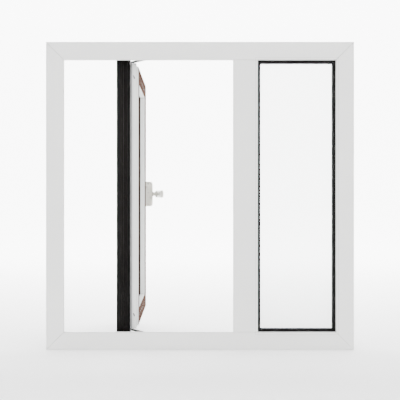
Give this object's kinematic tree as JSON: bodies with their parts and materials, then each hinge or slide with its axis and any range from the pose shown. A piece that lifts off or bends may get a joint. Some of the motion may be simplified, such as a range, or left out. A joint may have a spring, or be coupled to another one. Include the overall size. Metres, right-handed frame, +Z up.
{
  "type": "casement window",
  "caption": "Aluminium casement window: an outward-opening sash on friction stays beside a fixed light, with a mullion and a lever handle on the lock stile.",
  "frame": {"origin": "middle of the sill's underside, half way through the frame's depth", "axes": "+X right seen from the room, +Y to the outside, +Z up"},
  "size_m": [0.9, 0.5575, 0.9],
  "materials": {
    "white_coat": "white powder coat, satin",
    "black_coat": "black powder coat, satin",
    "polyamide": "glass-filled polyamide, matt",
    "seal_rubber": "matt",
    "spacer_metal": "satin",
    "glazing": "clear float",
    "stay_steel": "brushed",
    "dark_steel": "dark brushed",
    "shoe_plastic": "matt",
    "handle_coat": "warm grey satin"
  },
  "bodies": {
    "frame": {"fixed_bead_bottom": "black_coat", "fixed_bead_left": "black_coat", "fixed_bead_right": "black_coat", "fixed_bead_top": "black_coat", "fixed_pane_outer": "glazing", "fixed_pane_room": "glazing", "fixed_pane_spacer": "spacer_metal", "fixed_seal_outer": "seal_rubber", "fixed_seal_room": "seal_rubber", "fixed_setting_blocks": "polyamide", "frame_head": "white_coat", "frame_head_outer": "black_coat", "frame_jamb_left": "white_coat", "frame_jamb_left_outer": "black_coat", "frame_jamb_right": "white_coat", "frame_jamb_right_outer": "black_coat", "frame_lip_seal": "seal_rubber", "frame_sill": "white_coat", "frame_sill_outer": "black_coat", "frame_thermal_breaks": "polyamide", "lock_keeps": "stay_steel", "mullion": "white_coat", "mullion_outer": "black_coat", "stay_pivots": "stay_steel", "stay_track_bottom": "stay_steel", "stay_track_top": "stay_steel", "track_screws": "stay_steel"},
    "shoes": {"stay_shoe_top": "shoe_plastic", "stay_shoe_bottom": "shoe_plastic"},
    "sash": {"sash_arm_bottom": "stay_steel", "sash_arm_top": "stay_steel", "sash_bead_bottom": "white_coat", "sash_bead_hinge": "white_coat", "sash_bead_lock": "white_coat", "sash_bead_top": "white_coat", "sash_bottom_rail": "white_coat", "sash_bottom_rail_outer": "black_coat", "sash_hinge_stile": "white_coat", "sash_hinge_stile_outer": "black_coat", "sash_lock_stile": "white_coat", "sash_lock_stile_outer": "black_coat", "sash_pane_outer": "glazing", "sash_pane_room": "glazing", "sash_pane_spacer": "spacer_metal", "sash_seal_outer": "seal_rubber", "sash_seal_room": "seal_rubber", "sash_setting_blocks": "polyamide", "sash_thermal_breaks": "polyamide", "sash_top_rail": "white_coat", "sash_top_rail_outer": "black_coat", "handle_base": "handle_coat"},
    "handle": {"handle_lever": "handle_coat", "handle_spindle": "stay_steel"},
    "lock_rod": {"lock_rod": "stay_steel", "lock_cams": "stay_steel"},
    "support_arms": {"support_arm_top": "dark_steel", "support_arm_bottom": "dark_steel", "support_arm_rivets": "stay_steel"}
  },
  "joints": [
    {"name": "shoe_slide", "type": "slide", "parent": "frame", "child": "shoes", "axis": [1, 0, 0], "range_m": [-0.1685, 0]},
    {"name": "sash_swing", "type": "hinge", "parent": "shoes", "child": "sash", "pos_m": [-0.229, 0.011, 0.45], "axis": [0, 0, 1], "range_deg": [-90, 0]},
    {"name": "stay_arm_swing", "type": "hinge", "parent": "frame", "child": "support_arms", "pos_m": [-0.147, 0.011, 0.45], "axis": [0, 0, 1], "range_deg": [0, 53.8]},
    {"name": "handle_turn", "type": "hinge", "parent": "sash", "child": "handle", "pos_m": [-0.183, 0.477, 0.457], "axis": [1, 0, 0], "range_deg": [0, 90]},
    {"name": "lock_rod_slide", "type": "slide", "parent": "sash", "child": "lock_rod", "axis": [0, 0, 1], "range_m": [0, 0.018]}
  ],
  "couplings": [
    {"joint": "shoe_slide", "follows": "sash_swing", "m_per_rad": 0.10727},
    {"joint": "stay_arm_swing", "follows": "sash_swing", "ratio": -0.59724},
    {"joint": "lock_rod_slide", "follows": "handle_turn", "m_per_rad": 0.011459}
  ]
}
